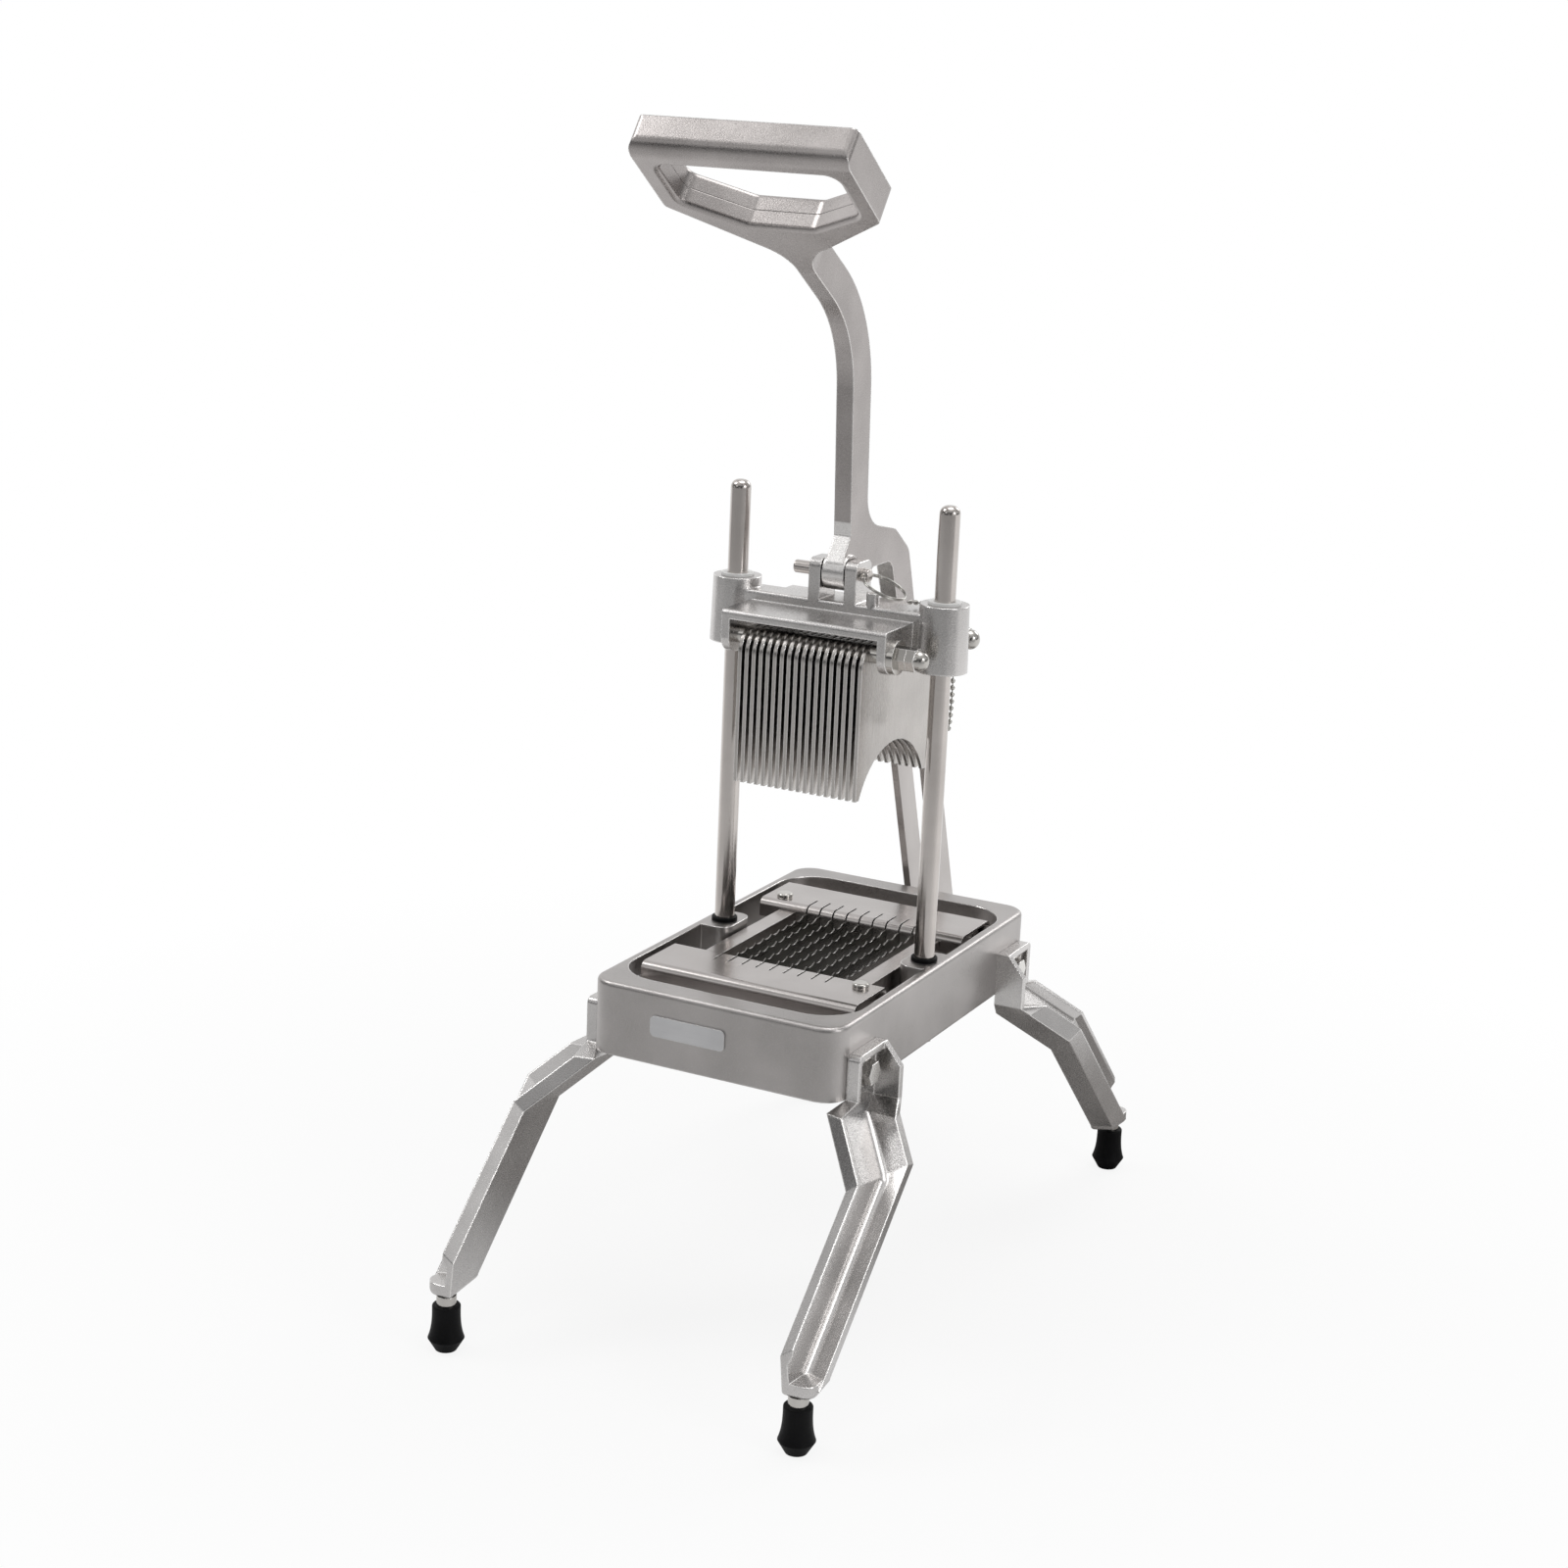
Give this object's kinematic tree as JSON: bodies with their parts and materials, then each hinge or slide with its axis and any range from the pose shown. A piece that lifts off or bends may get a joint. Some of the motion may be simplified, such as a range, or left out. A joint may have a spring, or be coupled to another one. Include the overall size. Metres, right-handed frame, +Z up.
{
  "type": "manual vegetable slicer",
  "caption": "Tabletop lever press: a comb of pusher plates slides down two rods and forces vegetables through a blade grid, on a cast frame with splayed legs and rubber feet.",
  "frame": {"origin": "on the floor, midway between the four feet, at the middle of the bounding box's bottom", "axes": "+X to the object's right, +Y to the back, +Z up; the handle's loop leans to the front"},
  "size_m": [0.258, 0.5, 0.7159],
  "materials": {
    "cast_aluminium": "tumbled casting, polished edges",
    "blank_badge": "plain matt plate",
    "rod_steel": "ground stainless rod",
    "sheet_steel": "brushed stainless sheet",
    "blade_steel": "ground blade steel",
    "pusher_aluminium": "satin plate",
    "fastener_steel": "plain stainless fasteners",
    "ring_steel": "nickel-plated wire and beads",
    "black_rubber": "matt black rubber",
    "white_plastic": "white bearing plastic"
  },
  "bodies": {
    "base": {"base_frame": "cast_aluminium", "badge_plate": "blank_badge", "leg_front_right": "cast_aluminium", "leg_front_left": "cast_aluminium", "leg_rear_right": "cast_aluminium", "leg_rear_left": "cast_aluminium", "foot_front_right": "black_rubber", "foot_front_left": "black_rubber", "foot_rear_right": "black_rubber", "foot_rear_left": "black_rubber", "foot_studs": "fastener_steel", "leg_bolts": "fastener_steel", "leg_washers": "fastener_steel", "guide_rod_right": "rod_steel", "guide_rod_left": "rod_steel", "rod_bumpers": "black_rubber", "rod_nuts": "fastener_steel", "cartridge_front_plate": "sheet_steel", "cartridge_rear_plate": "sheet_steel", "cartridge_rail_right": "sheet_steel", "cartridge_rail_left": "sheet_steel", "cartridge_blades": "blade_steel", "blade_pins": "blade_steel", "cartridge_screws": "fastener_steel", "link_foot_bolt": "fastener_steel", "link_foot_nut": "fastener_steel"},
    "push_head": {"push_head": "cast_aluminium", "rod_bushings": "white_plastic", "pusher_plate_01": "pusher_aluminium", "pusher_plate_02": "pusher_aluminium", "pusher_plate_03": "pusher_aluminium", "pusher_plate_04": "pusher_aluminium", "pusher_plate_05": "pusher_aluminium", "pusher_plate_06": "pusher_aluminium", "pusher_plate_07": "pusher_aluminium", "pusher_plate_08": "pusher_aluminium", "pusher_plate_09": "pusher_aluminium", "pusher_plate_10": "pusher_aluminium", "pusher_plate_11": "pusher_aluminium", "pusher_plate_12": "pusher_aluminium", "pusher_plate_13": "pusher_aluminium", "pusher_plate_14": "pusher_aluminium", "pusher_plate_15": "pusher_aluminium", "pusher_plate_16": "pusher_aluminium", "pusher_plate_17": "pusher_aluminium", "pusher_plate_18": "pusher_aluminium", "plate_axles": "fastener_steel", "axle_spacers": "fastener_steel", "axle_washers": "fastener_steel", "axle_nuts": "fastener_steel", "acorn_nuts": "fastener_steel", "release_pin": "rod_steel", "pin_ring": "ring_steel", "tether_chain": "ring_steel", "tether_screw": "fastener_steel"},
    "handle": {"handle": "cast_aluminium"},
    "links": {"link_right": "sheet_steel", "link_left": "sheet_steel", "link_top_screws": "fastener_steel"}
  },
  "joints": [
    {"name": "head_press", "type": "slide", "parent": "base", "child": "push_head", "axis": [0, 0, -1], "range_m": [0, 0.17]},
    {"name": "handle_swing", "type": "hinge", "parent": "push_head", "child": "handle", "pos_m": [0, 0.0047, 0.4465], "axis": [1, 0, 0], "range_deg": [0, 95.37]},
    {"name": "link_swing", "type": "hinge", "parent": "base", "child": "links", "pos_m": [0, 0.1732, 0.182], "axis": [1, 0, 0], "range_deg": [0, 15.15]}
  ],
  "couplings": [
    {"joint": "handle_swing", "follows": "head_press", "rad_per_m": 9.7903},
    {"joint": "link_swing", "follows": "head_press", "rad_per_m": 1.5549}
  ]
}
